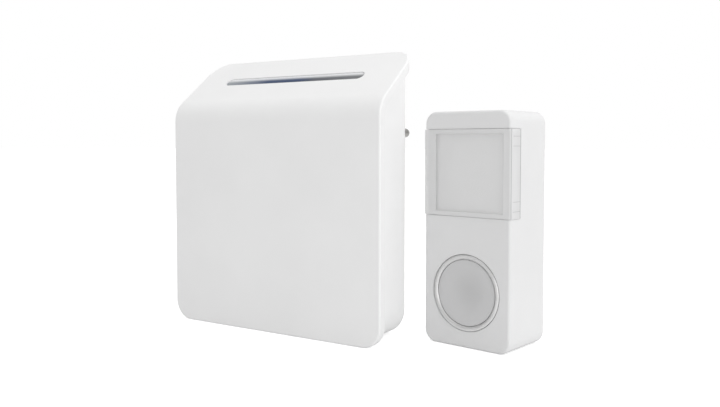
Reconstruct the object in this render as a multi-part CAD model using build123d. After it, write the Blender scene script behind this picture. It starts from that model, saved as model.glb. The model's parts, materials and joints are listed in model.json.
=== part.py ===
from build123d import *
import os
from math import atan2, cos, degrees, sin, tan

# Wireless doorbell: a plug-in chime and its bell push, standing side by side.
# Lengths are millimetres. X runs right, Y runs back and Z runs up, seen from the chime's front.
# Each unit is drawn in its own place, with x = 0 at its middle, y = 0 at its front face
# and z = 0 under it, and the two are set beside each other at the end.

# Chime front plate, a bent panel with a light slot
plate_width = 92.0
plate_height = 99.8
plate_thickness = 3.2
bend_height = 80.1
slant_depth = 25.0
bend_radius = 9.5
plate_corner_radius = 7.2
slant_taper = 0.5
taper_blend_radius = 150.0
plate_edge_round = 0.6
slot_length = 62.6
slot_height = 4.4
slot_setback = 10.5
peg_radius = 1.9
peg_length = 3.0
peg_x = 30.0
peg_low_z = 16.0
peg_high_z = 64.0

# Chime body, the open-backed case behind the plate
body_inset = 4.2
body_depth = 24.0
body_corner_radius = 9.0
body_wall = 2.0
body_edge_round = 0.5
bend_easing = 2.0
rear_screw_x = 36.2
rear_screw_low_z = 9.5
rear_screw_high_z = 81.5
rear_boss_radius = 2.8

# Light guide and flash lamps under the slot
guide_margin = 0.6
guide_flange = 1.5
guide_flange_thickness = 1.5
guide_recess = 0.1
guide_foot_x = 24.0
guide_foot_width = 4.0
guide_foot_height = 1.4
lamp_board_length = 56.0
lamp_board_height = 6.0
lamp_board_thickness = 1.0
lamp_size = 2.8
lamp_height = 1.1
lamp_pitch = 9.0
lamp_count = 5

# Rear cover with the power housing, and the plug
power_width = 56.0
power_height = 40.0
power_depth = 21.0
power_corner_radius = 4.0
power_back_round = 1.5
power_top_margin = 0.7
plug_base_radius = 18.2
plug_base_length = 19.0
plug_base_wall = 2.2
plug_end_wall = 3.0
plug_spigot_radius = 15.0
plug_groove_width = 5.2
plug_groove_depth = 1.8
plug_groove_start = 3.0
plug_edge_round = 1.2
pin_pitch = 18.6
pin_radius = 2.0
pin_length = 19.0
pin_core_radius = 1.3
pin_head_radius = 3.2
pin_head_thickness = 1.2
pin_tail_length = 6.0
sleeve_radius = 1.8
sleeve_length = 10.0

# Mains supply inside the power housing
mains_board_gap_x = 2.0
mains_board_gap_z = 1.0
mains_board_front_gap = 0.5
board_thickness = 1.6
mains_boss_x = 20.0
mains_boss_margin = 4.0
mains_boss_radius = 2.5
core_width = 20.0
core_height = 14.0
core_depth = 13.0
core_yoke = 4.0
winding_margin = 1.6
capacitor_radius = 4.0
capacitor_length = 12.0
capacitor_x = 10.0
capacitor_drop = 7.0
fuse_radius = 1.6
fuse_length = 8.0
fuse_cap_length = 1.6
fuse_x = -10.0
fuse_lead_radius = 0.4
lead_radius = 0.8

# Main board of the chime
main_board_width = 72.0
main_board_height = 33.0
main_board_drop = 3.3
main_board_y = 9.0
main_boss_x = 27.0
main_boss_margin = 4.0
main_boss_radius = 2.5
header_pitch = 2.54
header_pin_radius = 0.4
header_pins = 4
chip_width = 8.0
chip_height = 6.0
chip_thickness = 1.5
chip_x = 9.5
chip_leg_count = 6
chip_leg_width = 0.4
chip_leg_reach = 1.0
chip_standoff = 0.2
radio_width = 14.0
radio_height = 17.0
radio_thickness = 1.0
can_thickness = 1.6
can_margin = 1.5
can_top_margin = 4.0
radio_x = -12.0
aerial_radius = 2.4
aerial_bore = 1.6
aerial_length = 18.0

# Side buttons of the chime and their switches
side_button_length = 8.6
side_button_width = 4.0
side_button_proud = 0.9
side_button_travel = 0.6
melody_button_drop = 11.0
volume_button_drop = 24.0
side_flange = 1.2
side_flange_thickness = 0.8
side_stem_width = 2.0
side_switch_depth = 3.5
side_switch_height = 3.6
side_switch_length = 6.2
side_plunger_width = 1.6
side_plunger_proud = 0.6

# Loudspeaker, facing the back
speaker_radius = 18.0
speaker_z = 25.0
speaker_depth = 7.5
speaker_rim = 2.4
speaker_rim_thickness = 1.0
speaker_sheet = 0.6
cone_gap = 1.2
cone_seat = 0.8
cone_lift = 2.2
cone_sheet = 0.4
magnet_radius = 9.5
magnet_depth = 4.0
pole_radius = 4.0
speaker_ring_height = 3.0
speaker_ring_wall = 1.4
grille_slot_width = 1.8
grille_slot_pitch = 4.0
grille_slots = 7

# Bell push case
push_width = 33.0
push_height = 77.8
push_depth = 22.4
push_corner_radius = 4.2
push_corner_easing = 2.5
push_front_round = 0.9
push_back_round = 0.5
push_wall = 2.2
push_upper_front_wall = 3.6
push_step_margin = 3.0

# Clear name cover and card
cover_bottom = 43.3
cover_height = 28.6
cover_thickness = 1.2
cover_proud = 0.3
cover_leg_depth = 5.7
cover_leg_thickness = 1.0
cover_gap = 0.1
cover_edge_round = 0.5
rib_width = 3.1
rib_depth = 3.6
rib_proud = 0.4
rib_margin = 2.4
card_width = 26.4
card_height = 25.8
card_thickness = 0.4

# Bell button, its ring and its switch
button_z = 18.25
ring_radius = 12.6
ring_inner_radius = 11.0
ring_proud = 0.5
ring_seat_depth = 1.4
ring_barrel_depth = 3.0
ring_barrel_wall = 0.8
button_gap = 0.3
button_recess = 0.3
button_dish = 0.7
button_thickness = 1.8
button_flange_gap = 0.2
button_flange_thickness = 0.8
button_stem_radius = 2.4
button_travel = 0.6
switch_side = 6.0
switch_height = 3.4
switch_plunger_radius = 1.7
switch_plunger_proud = 0.6

# Bell push board and battery
push_board_y = 10.0
push_board_width = 28.0
push_board_bottom = 5.0
push_board_top = 71.3
push_board_thickness = 1.2
push_boss_x = 10.5
push_boss_z = 37.0
push_top_boss_z = 67.8
push_boss_radius = 2.2
cell_radius = 10.0
cell_thickness = 3.2
cell_z = 52.0
cell_contact = 0.3
contact_margin = 4.0
holder_wall = 1.2
holder_height = 2.4
holder_slot_gap = 0.5
strap_width = 6.0
strap_thickness = 0.3
strap_reach = 5.0
push_chip_z = 29.0
push_chip_width = 5.0
push_lamp_x = 7.0
push_lamp_size = 1.6
push_lamp_height = 0.7

# Wall plate of the bell push
wall_plate_thickness = 2.0
wall_plate_gap = 0.15
wall_hole_radius = 2.1
wall_hole_low_z = 16.0
wall_hole_high_z = 64.0
hook_width = 8.0
hook_length = 4.0
hook_thickness = 1.2
hook_gap = 0.35

# Shared fits and fasteners
cut_past = 1.0
fit_gap = 0.15
pin_fit = 0.05
switch_travel = 0.3
switch_fit = 0.1
screw_radius = 1.4
screw_head_radius = 2.7
screw_head_thickness = 1.1
screw_length = 9.0
small_screw_radius = 0.95
small_head_radius = 1.8
small_head_thickness = 1.2
small_screw_length = 4.6

# Where the bell push stands beside the chime's right-hand edge, and how far it is turned
push_gap_x = 37.9
push_gap_y = 16.15
push_turn = -8.2

# Worked-out places on the chime
slant_angle = atan2(plate_height - bend_height, slant_depth)
slot_rise = (body_depth - slot_setback) / cos(slant_angle)
body_half = plate_width / 2 - body_inset
body_front = plate_thickness + body_wall
cover_front = body_depth - body_wall
power_back = body_depth + power_depth
power_top = bend_height + body_depth * tan(slant_angle) - body_front / cos(slant_angle) - power_top_margin
plug_z = power_top - power_height / 2
plug_end = power_back + plug_base_length
main_board_back = main_board_y + board_thickness
main_board_top = bend_height - main_board_drop
main_board_bottom = main_board_top - main_board_height
melody_button_z = main_board_top - melody_button_drop
volume_button_z = main_board_top - volume_button_drop
side_switch_y = main_board_back + side_switch_height / 2
mains_board_width = power_width - 2 * (body_wall + mains_board_gap_x)
mains_board_height = power_height - 2 * (body_wall + mains_board_gap_z)
mains_board_y = body_depth + mains_board_front_gap
mains_board_back = mains_board_y + board_thickness
core_z = plug_z - mains_board_height / 2 + core_height / 2 + winding_margin
capacitor_z = plug_z + mains_board_height / 2 - capacitor_drop
header_z = (plug_z - mains_board_height / 2 + main_board_top) / 2
lamp_board_down = body_front + guide_flange_thickness + guide_foot_height

# Worked-out places on the bell push
push_half = push_width / 2
switch_front = push_board_y - switch_height
push_board_back = push_board_y + push_board_thickness
stem_end = switch_front - switch_plunger_proud - (button_travel - switch_travel)
cell_front = push_board_back + cell_contact
cell_back = cell_front + cell_thickness
wall_plate_front = push_depth - wall_plate_thickness
card_front = cover_thickness - cover_proud


def block(x0, x1, y0, y1, z0, z1):
    """A block between two corners."""
    middle = Pos((x0 + x1) / 2, (y0 + y1) / 2, (z0 + z1) / 2)
    return middle * Box(x1 - x0, y1 - y0, z1 - z0)


def bar_y(radius, y0, y1, x, z):
    """A round bar that runs back, from depth y0 to y1."""
    return Pos(x, (y0 + y1) / 2, z) * Rot(90, 0, 0) * Cylinder(radius, y1 - y0)


def bar_x(radius, x0, x1, y, z):
    """A round bar that runs across, from x0 to x1."""
    return Pos((x0 + x1) / 2, y, z) * Rot(0, 90, 0) * Cylinder(radius, x1 - x0)


def front_shape(shape, y0, y1, x=0.0, z=0.0):
    """A flat shape of the front view, made solid from depth y0 to y1."""
    return extrude(Plane.XZ.offset(-y1) * Pos(x, z) * shape, y1 - y0)


def side_shape(points, half_width):
    """A closed outline of depths and heights, made solid across the middle."""
    return extrude(Plane.YZ * make_face(Polyline(*points, close=True)), half_width, both=True)


def turned(points, x, z):
    """A piece turned about an axis that runs back, from radii and depths."""
    return Pos(x, 0, z) * revolve(make_face(Polyline(*points, close=True)), Axis.Y)


def long_edges(solid, direction, shortest, keep):
    """The straight edges along a direction that pass a test on their middle."""
    edges = solid.edges().filter_by(direction)
    return [e for e in edges if e.length > shortest and keep(e.center())]


def screw(x, z, seat, radius, length, head_radius, head_thickness):
    """A screw whose head sits at a depth and whose shank runs forward from it."""
    head = bar_y(head_radius, seat, seat + head_thickness, x, z)
    slot = block(x - head_radius * 0.6, x + head_radius * 0.6, seat + head_thickness * 0.6,
                 seat + head_thickness + 1, z - 0.3, z + 0.3)
    return head + bar_y(radius, seat - length, seat, x, z) - slot


def slant_z(y, down):
    """Height, at a depth, of the plane that lies this far under the slanted outer face."""
    return bend_height + y * tan(slant_angle) - down / cos(slant_angle)


def slant_plane(down, x=0.0):
    """A plane on the slot's middle, this far under the slanted outer face, facing out."""
    y = slot_rise * cos(slant_angle) + down * sin(slant_angle)
    z = bend_height + slot_rise * sin(slant_angle) - down * cos(slant_angle)
    facing = (0, -sin(slant_angle), cos(slant_angle))
    return Plane(origin=(x, y, z), x_dir=(1, 0, 0), z_dir=facing)


def slant_slab(shape, down0, down1, x=0.0):
    """A shape of the slanted face, made solid between two distances under it."""
    return extrude(slant_plane(down1, x) * shape, down1 - down0)


def peg_places():
    """The four places where the front plate's pegs enter the body."""
    return [(x, z) for x in (-peg_x, peg_x) for z in (peg_low_z, peg_high_z)]


def rear_screw_places():
    """The four screws of the rear cover; the lower ones stand in the rounded corners."""
    low_x = body_half - body_corner_radius
    places = [(side * low_x, rear_screw_low_z) for side in (-1, 1)]
    return places + [(side * rear_screw_x, rear_screw_high_z) for side in (-1, 1)]


def main_boss_places():
    """The four posts that carry the main board."""
    heights = (main_board_bottom + main_boss_margin, main_board_top - main_boss_margin)
    return [(x, z) for x in (-main_boss_x, main_boss_x) for z in heights]


def mains_boss_places():
    """The posts that carry the mains board, on opposite corners."""
    rise = mains_board_height / 2 - mains_boss_margin
    return [(-mains_boss_x, plug_z + rise), (mains_boss_x, plug_z - rise)]


def push_boss_places():
    """The three posts that carry the bell push's board."""
    return [(-push_boss_x, push_boss_z), (push_boss_x, push_boss_z), (0.0, push_top_boss_z)]


def on_plate_outside(face):
    """True for the plate's front, bend and slanted face, which look forward or up."""
    normal = face.normal_at()
    forward = -normal.Y * cos(slant_angle / 2) + normal.Z * sin(slant_angle / 2)
    middle = face.center()
    return forward > 0.5 and middle.Y < plate_thickness / 2 + max(0, middle.Z - waist_z()) / tan(slant_angle)


def waist_z():
    """Height where the plate starts to bend and to narrow."""
    return bend_height - bend_radius / 2


def upper_corner_waste():
    """What the rounds of the plate's upper corners take off; they lean with its tapered sides."""
    r = plate_corner_radius
    t = plate_thickness
    drop = r * tan(slant_angle) + 2 * t / cos(slant_angle)
    square = Rectangle(r + t, r + t, align=(Align.MIN, Align.MIN))
    cut = Pos(-r, -r, -drop) * extrude(square - Circle(r), drop + t)
    lean = degrees(atan2(slant_taper, plate_height - waist_z()))
    cut = Pos(plate_width / 2 - slant_taper, slant_depth, plate_height) * Rot(0, -lean, 0) * cut
    return [cut, mirror(cut, Plane.YZ)]


def chime_front_plate():
    """The panel of one thickness, bent back above and slotted for the light."""
    t = plate_thickness
    tip = (slant_depth, slant_z(slant_depth, t))
    outline = [(0, 0), (0, bend_height), (slant_depth, plate_height), tip, (t, slant_z(t, t)), (t, 0)]
    face = make_face(Polyline(*outline, close=True))
    outer = face.vertices().sort_by_distance((0, bend_height, 0))[0]
    face = fillet(outer, bend_radius)
    inner = face.vertices().sort_by_distance((t, slant_z(t, t), 0))[0]
    face = fillet(inner, bend_radius - t)
    strip = extrude(Plane.YZ * face, plate_width / 2, both=True)
    half = plate_width / 2
    top = half - slant_taper
    waist = waist_z()
    front = [(-half, 0), (half, 0), (half, waist), (top, plate_height), (-top, plate_height), (-half, waist)]
    face = make_face(Polyline(*front, close=True))
    for side in (-half, half):
        face = fillet(face.vertices().sort_by_distance((side, waist, 0))[0], taper_blend_radius)
    panel = strip & front_shape(face, -1, tip[0] + 1)
    low_ends = long_edges(panel, Axis.Y, t / 2, lambda c: c.Z < plate_edge_round)
    panel = fillet(low_ends, plate_corner_radius)
    for waste in upper_corner_waste():
        panel -= waste
    outer_faces = [f for f in panel.faces() if on_plate_outside(f)]
    shared = [e for e in panel.edges() if sum(e in f.edges() for f in outer_faces) == 1]
    panel = fillet(shared, plate_edge_round)
    panel -= slant_slab(SlotOverall(slot_length, slot_height), -1, t + 1)
    for x, z in peg_places():
        panel += bar_y(peg_radius, t, t + peg_length, x, z)
    return panel


def chime_body():
    """The case behind the plate, open at the back, with its posts and button holes."""
    t = plate_thickness
    back = body_depth + 1
    outer_points = [(t, 0), (t, slant_z(t, t)), (body_depth, slant_z(body_depth, t)), (body_depth, 0)]
    inner_points = [(body_front, body_wall), (body_front, slant_z(body_front, body_front)),
                    (back, slant_z(back, body_front)), (back, body_wall)]
    outer = side_shape(outer_points, body_half)
    bend = long_edges(outer, Axis.X, 1, lambda c: abs(c.Y - t) < 0.1 and c.Z > 1)
    outer = fillet(bend, bend_radius - t + bend_easing)
    feet = long_edges(outer, Axis.Y, 5, lambda c: c.Z < 0.1)
    outer = fillet(feet, body_corner_radius)
    inner = side_shape(inner_points, body_half - body_wall)
    corners = long_edges(inner, Axis.Y, 5, lambda c: c.Z < body_wall + 0.1)
    inner = fillet(corners, body_corner_radius - body_wall)
    rim = [e for e in outer.edges().group_by(Axis.Y)[-1] if abs(e.center().Y - body_depth) < 0.01]
    outer = fillet(rim, body_edge_round)
    shell = outer - inner
    posts = []
    for x, z in rear_screw_places():
        posts.append(bar_y(rear_boss_radius, t, cover_front, x, z) & outer)
    for x, z in main_boss_places():
        posts.append(bar_y(main_boss_radius, t, main_board_y, x, z) & outer)
    shell = shell + posts
    for x, z in rear_screw_places():
        shell -= bar_y(screw_radius + pin_fit, cover_front - screw_length, cover_front + 1, x, z)
    for x, z in main_boss_places():
        shell -= bar_y(small_screw_radius + pin_fit, main_board_back - small_screw_length - 0.3, back, x, z)
    for x, z in peg_places():
        shell -= bar_y(peg_radius + fit_gap, t - 1, body_front + 1, x, z)
    grow = 2 * (guide_margin + fit_gap)
    shell -= slant_slab(SlotOverall(slot_length + grow, slot_height + grow), t - 1, body_front + 1)
    for z in (melody_button_z, volume_button_z):
        shell -= side_button_prism(fit_gap, -body_half - 1, -body_half + body_wall + 1, z)
    return shell


def side_button_prism(grow, x0, x1, z):
    """The rounded outline of a side button, grown all round, from x0 to x1."""
    width = side_button_width + 2 * grow
    outline = RectangleRounded(width, side_button_length + 2 * grow, width / 2 - 0.1)
    return extrude(Plane.YZ.offset(x0) * Pos(side_switch_y, z) * outline, x1 - x0)


def light_guide():
    """The clear bar under the slot, with a flange inside the case and two feet."""
    lens = SlotOverall(slot_length + 2 * guide_margin, slot_height + 2 * guide_margin)
    grow = guide_margin + fit_gap + guide_flange
    flange = SlotOverall(slot_length + 2 * grow, slot_height + 2 * grow)
    inside = body_front + guide_flange_thickness
    guide = slant_slab(lens, plate_thickness + guide_recess, body_front)
    guide += slant_slab(flange, body_front, inside)
    for x in (-guide_foot_x, guide_foot_x):
        guide += slant_slab(Rectangle(guide_foot_width, lamp_board_height), inside, lamp_board_down, x)
    return guide


def lamp_board():
    """The strip that carries the flash lamps, on the guide's feet."""
    strip = Rectangle(lamp_board_length, lamp_board_height)
    return slant_slab(strip, lamp_board_down, lamp_board_down + lamp_board_thickness)


def flash_lamps():
    """The row of square lamps on the strip."""
    first = -lamp_pitch * (lamp_count - 1) / 2
    lamp = Rectangle(lamp_size, lamp_size)
    return [slant_slab(lamp, lamp_board_down - lamp_height, lamp_board_down, first + lamp_pitch * i)
            for i in range(lamp_count)]


def chime_rear_cover():
    """The back panel, the power housing on it, the sound slots and the speaker's ring."""
    gap = fit_gap
    bottom = body_wall + gap
    points = [(cover_front, bottom), (body_depth, bottom),
              (body_depth, slant_z(body_depth, body_front) - gap),
              (cover_front, slant_z(cover_front, body_front) - gap)]
    panel = side_shape(points, body_half - body_wall - gap)
    feet = long_edges(panel, Axis.Y, 1, lambda c: c.Z < bottom + 0.1)
    panel = fillet(feet, body_corner_radius - body_wall - gap)
    outside = RectangleRounded(power_width, power_height, power_corner_radius)
    housing = front_shape(outside, body_depth, power_back, 0, plug_z)
    rim = housing.edges().group_by(Axis.Y)[-1]
    housing = fillet(rim, power_back_round)
    wall = body_wall
    room = RectangleRounded(power_width - 2 * wall, power_height - 2 * wall, power_corner_radius - wall)
    cover = panel + housing - front_shape(room, cover_front - 1, power_back - wall, 0, plug_z)
    for x, z in mains_boss_places():
        cover += bar_y(mains_boss_radius, mains_board_back, power_back - wall / 2, x, z)
        deep = mains_board_back + small_screw_length
        cover -= bar_y(small_screw_radius + pin_fit, mains_board_back - 1, deep, x, z)
    ring = Circle(speaker_radius + fit_gap + speaker_ring_wall) - Circle(speaker_radius + fit_gap)
    cover += front_shape(ring, cover_front - speaker_ring_height, cover_front, 0, speaker_z)
    cover -= bar_y(plug_spigot_radius + fit_gap, power_back - wall - 1, power_back + 1, 0, plug_z)
    reach = speaker_radius - speaker_rim
    for i in range(grille_slots):
        dz = grille_slot_pitch * (i - (grille_slots - 1) / 2)
        length = 2 * (reach ** 2 - dz ** 2) ** 0.5 - grille_slot_width
        slot = SlotOverall(length, grille_slot_width)
        cover -= front_shape(slot, cover_front - 1, body_depth + 1, 0, speaker_z + dz)
    for x, z in rear_screw_places():
        cover -= bar_y(screw_radius + fit_gap, cover_front - 1, body_depth + 1, x, z)
        cover -= bar_y(screw_head_radius + fit_gap, body_depth - screw_head_thickness, body_depth + 1, x, z)
    return cover


def plug_base():
    """The round foot of the plug, hollow towards the housing, with guide grooves at its sides."""
    r = plug_base_radius
    inside = r - plug_base_wall
    spigot = plug_spigot_radius
    mouth = power_back - body_wall
    floor = plug_end - plug_end_wall
    half = [(spigot - plug_base_wall, mouth), (spigot, mouth), (spigot, power_back), (r, power_back),
            (r, plug_end), (0, plug_end), (0, floor), (inside, floor), (inside, power_back + plug_base_wall),
            (spigot - plug_base_wall, power_back + plug_base_wall)]
    base = turned(half, 0, plug_z)
    for side in (-1, 1):
        x = side * r
        half_groove = plug_groove_width / 2
        base -= block(x - plug_groove_depth, x + plug_groove_depth, power_back + plug_groove_start,
                      plug_end + 1, plug_z - half_groove, plug_z + half_groove)
        base -= bar_y(pin_core_radius + pin_fit, floor - 1, plug_end + 1, side * pin_pitch / 2, plug_z)
    round_edges = base.edges().filter_by(GeomType.CIRCLE)
    rim = [e for e in round_edges if e.center().Y > plug_end - 0.1 and e.radius > r - 1]
    return fillet(rim, plug_edge_round)


def plug_pin(x):
    """One contact pin with a round nose, a slim core under its sleeve, and a head and tail inside."""
    tip = plug_end + pin_length
    step = plug_end + sleeve_length
    floor = plug_end - plug_end_wall
    head = floor - pin_head_thickness
    tail = head - pin_tail_length
    r = pin_radius
    bore = lead_radius + pin_fit
    core = pin_core_radius
    outline = [(bore, tail), (core, tail), (core, head), (pin_head_radius, head), (pin_head_radius, floor),
               (core, floor), (core, step), (r, step), (r, tip - r)]
    body = Polyline(*outline)
    nose = CenterArc((0, tip - r), r, 0, 90)
    deep = head - 1
    close = Polyline((0, tip), (0, deep), (bore, deep), (bore, tail))
    return Pos(x, 0, plug_z) * revolve(make_face([body, nose, close]), Axis.Y)


def plug_pin_sleeves():
    """The insulating sleeves on the inner part of both pins."""
    tube = Circle(sleeve_radius) - Circle(pin_core_radius + pin_fit)
    end = plug_end + sleeve_length
    return [front_shape(tube, plug_end, end, side * pin_pitch / 2, plug_z) for side in (-1, 1)]


def mains_leads():
    """The two insulated leads from the pins' tails to the mains board."""
    end = plug_end - plug_end_wall - pin_head_thickness - 1
    return [bar_y(lead_radius, mains_board_back, end, side * pin_pitch / 2, plug_z) for side in (-1, 1)]


def mains_board():
    """The board of the mains supply."""
    sheet = Rectangle(mains_board_width, mains_board_height)
    board = front_shape(sheet, mains_board_y, mains_board_back, 0, plug_z)
    for x, z in mains_boss_places():
        board -= bar_y(small_screw_radius + fit_gap, mains_board_y - 1, mains_board_back + 1, x, z)
    return board


def transformer_core():
    """The transformer's laminated core, two windows round a middle leg."""
    z = core_z
    y0 = mains_board_back + winding_margin
    y1 = y0 + core_depth
    core = block(-core_width / 2, core_width / 2, y0, y1, z - core_height / 2, z + core_height / 2)
    leg = core_yoke / 2
    for side in (-1, 1):
        a, b = sorted((side * leg, side * (core_width / 2 - leg)))
        core -= block(a, b, y0 + leg, y1 - leg, z - core_height, z + core_height)
    return core


def transformer_winding():
    """The taped winding on the middle leg, standing on the board."""
    z = core_z
    leg = core_yoke / 2
    y0 = mains_board_back + winding_margin
    half = core_width / 2 - leg - fit_gap
    top = y0 + core_depth - leg - fit_gap
    height = core_height / 2 + winding_margin
    coil = block(-half, half, y0 + leg + fit_gap, top, z - height, z + height)
    coil = fillet(coil.edges().filter_by(Axis.Y), 1.0)
    for side in (-1, 1):
        edge = z + side * (height - 0.6)
        coil += block(-half + 1, half - 1, mains_board_back, y0 + leg + 1, edge - 0.6, edge + 0.6)
    hole = core_height / 2 + fit_gap
    return coil - block(-leg - fit_gap, leg + fit_gap, y0 + leg, top + 1, z - hole, z + hole)


def smoothing_capacitor():
    """The upright electrolytic can with its rolled groove."""
    r = capacitor_radius
    y0 = mains_board_back
    top = y0 + capacitor_length
    half = [(0, y0), (r, y0), (r, y0 + 1.2), (r - 0.4, y0 + 1.6), (r, y0 + 2.0), (r, top - 0.4),
            (r - 0.4, top), (0, top)]
    return turned(half, capacitor_x, capacitor_z)


def mains_fuse():
    """The fuse across the board, on its two bent leads."""
    z = capacitor_z
    y = mains_board_back + fuse_radius + 0.6
    x0 = fuse_x - fuse_length / 2
    x1 = fuse_x + fuse_length / 2
    fuse = bar_x(fuse_radius, x0 + fuse_cap_length, x1 - fuse_cap_length, y, z)
    fuse += bar_x(fuse_radius + 0.3, x0, x0 + fuse_cap_length, y, z)
    fuse += bar_x(fuse_radius + 0.3, x1 - fuse_cap_length, x1, y, z)
    for x in (x0 - 1, x1 + 1):
        fuse += bar_x(fuse_lead_radius, min(x, fuse_x), max(x, fuse_x), y, z)
        fuse += bar_y(fuse_lead_radius, mains_board_back, y, x, z)
    return fuse


def main_board():
    """The chime's main board, on four posts behind the front wall."""
    height = main_board_top - main_board_bottom
    sheet = RectangleRounded(main_board_width, height, 1.0)
    board = front_shape(sheet, main_board_y, main_board_back, 0, main_board_bottom + height / 2)
    for x, z in main_boss_places():
        board -= bar_y(small_screw_radius + fit_gap, main_board_y - 1, main_board_back + 1, x, z)
    return board


def supply_header():
    """The row of pins that carries low voltage from the mains board to the main board."""
    first = -header_pitch * (header_pins - 1) / 2
    return [bar_y(header_pin_radius, main_board_back, mains_board_y, first + header_pitch * i, header_z)
            for i in range(header_pins)]


def sound_chip():
    """The tune chip, with a row of legs on each side."""
    z = main_board_top - 2 * main_boss_margin
    body_y = main_board_back + chip_standoff
    chip = block(chip_x - chip_width / 2, chip_x + chip_width / 2, body_y, main_board_back + chip_thickness,
                 z - chip_height / 2, z + chip_height / 2)
    reach = chip_height / 2 + chip_leg_reach
    half = chip_leg_width / 2
    for i in range(chip_leg_count):
        x = chip_x + (i - (chip_leg_count - 1) / 2) * chip_width / chip_leg_count
        chip += block(x - half, x + half, main_board_back, body_y + chip_leg_width, z - reach, z + reach)
    return chip


def radio_module():
    """The receiver board with its screening can."""
    z = (main_board_bottom + main_board_top) / 2
    y0 = main_board_back
    module = block(radio_x - radio_width / 2, radio_x + radio_width / 2, y0, y0 + radio_thickness,
                   z - radio_height / 2, z + radio_height / 2)
    half = radio_width / 2 - can_margin
    y1 = y0 + radio_thickness
    low = z - radio_height / 2 + can_margin
    high = z + radio_height / 2 - can_top_margin
    return module + block(radio_x - half, radio_x + half, y1, y1 + can_thickness, low, high)


def receiver_aerial():
    """The wound aerial, kept to the tube that its turns fill."""
    z = main_board_bottom + aerial_radius + 1.0
    y = main_board_back + aerial_radius
    x0 = -aerial_length / 2
    return bar_x(aerial_radius, x0, -x0, y, z) - bar_x(aerial_bore, x0 - 1, 1 - x0, y, z)


def side_button(z):
    """A side button: cap through the wall, flange inside it and a stem to the switch."""
    wall_in = -body_half + body_wall
    cap = side_button_prism(0, -body_half - side_button_proud, wall_in, z)
    outer = cap.edges().group_by(Axis.X)[0]
    cap = fillet(outer, 0.4)
    flange_end = wall_in + side_flange_thickness
    cap += side_button_prism(side_flange, wall_in, flange_end, z)
    half = side_stem_width / 2
    free = side_button_travel - switch_travel
    end = side_plunger_front() - free
    return cap + block(flange_end, end, side_switch_y - half, side_switch_y + half, z - half, z + half)


def side_plunger_front():
    """Where the side switches' plungers face the buttons' stems."""
    free = side_button_travel - switch_travel
    return -body_half + body_wall + side_flange_thickness + free + 0.5


def side_switch(z):
    """A side-facing switch, soldered to the main board's left edge."""
    x0 = side_plunger_front() + side_plunger_proud
    half = side_switch_length / 2
    y1 = main_board_back + side_switch_height
    case = block(x0, x0 + side_switch_depth, main_board_back, y1, z - half, z + half)
    hole = side_plunger_width / 2 + switch_fit
    deep = x0 + 1.0 + switch_travel + switch_fit
    return case - block(x0 - 1, deep, side_switch_y - hole, side_switch_y + hole, z - hole, z + hole)


def side_plunger(z):
    """The small plunger of a side switch."""
    x0 = side_plunger_front()
    half = side_plunger_width / 2
    x1 = x0 + side_plunger_proud + 1.0
    return block(x0, x1, side_switch_y - half, side_switch_y + half, z - half, z + half)


def speaker_frame():
    """The pressed basket: a flat rim, a cone of sheet and a flat back."""
    r = speaker_radius
    y = cover_front
    rim = y - speaker_rim_thickness
    back = y - speaker_depth
    s = speaker_sheet
    half = [(r, rim), (r, y), (r - speaker_rim, y), (magnet_radius + s, back + s), (pole_radius, back + s),
            (pole_radius, back), (magnet_radius + 2 * s, back), (r - speaker_rim + s, rim)]
    return turned(half, 0, speaker_z)


def speaker_magnet():
    """The ring magnet with its pole, on the basket's back."""
    back = cover_front - speaker_depth
    half = [(0, back - magnet_depth), (magnet_radius, back - magnet_depth), (magnet_radius, back),
            (pole_radius - fit_gap, back), (pole_radius - fit_gap, back + 1.5), (0, back + 1.5)]
    return turned(half, 0, speaker_z)


def speaker_cone():
    """The paper cone and its dome, inside the basket."""
    r = speaker_radius - speaker_rim - cone_gap
    y = cover_front - cone_seat
    deep = cover_front - speaker_depth + speaker_sheet + cone_lift
    t = cone_sheet
    dome = pole_radius + 1
    half = [(r, y), (r, y - t), (r - 1.5, y - t), (dome, deep - t), (0, deep + 1 - t), (0, deep + 1),
            (dome, deep), (r - 1.5, y)]
    return turned(half, 0, speaker_z)


def rear_cover_screws():
    """The four screws of the rear cover, flush with its back."""
    seat = body_depth - screw_head_thickness
    return [screw(x, z, seat, screw_radius, screw_length, screw_head_radius, screw_head_thickness)
            for x, z in rear_screw_places()]


def small_screw(x, z, seat):
    """A board screw whose head sits at this depth."""
    return screw(x, z, seat, small_screw_radius, small_screw_length, small_head_radius, small_head_thickness)


def main_board_screws():
    """The four screws of the main board."""
    return [small_screw(x, z, main_board_back) for x, z in main_boss_places()]


def mains_board_screws():
    """The screws of the mains board, driven from the front."""
    mirrored = []
    for x, z in mains_boss_places():
        one = mirror(small_screw(x, z, 0), Plane.XZ)
        mirrored.append(Pos(0, mains_board_y, 0) * one)
    return mirrored


def push_outline(inset):
    """The bell push's front outline, drawn in by an inset."""
    radius = push_corner_radius - min(inset, push_corner_easing)
    return RectangleRounded(push_width - 2 * inset, push_height - 2 * inset, radius)


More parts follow.
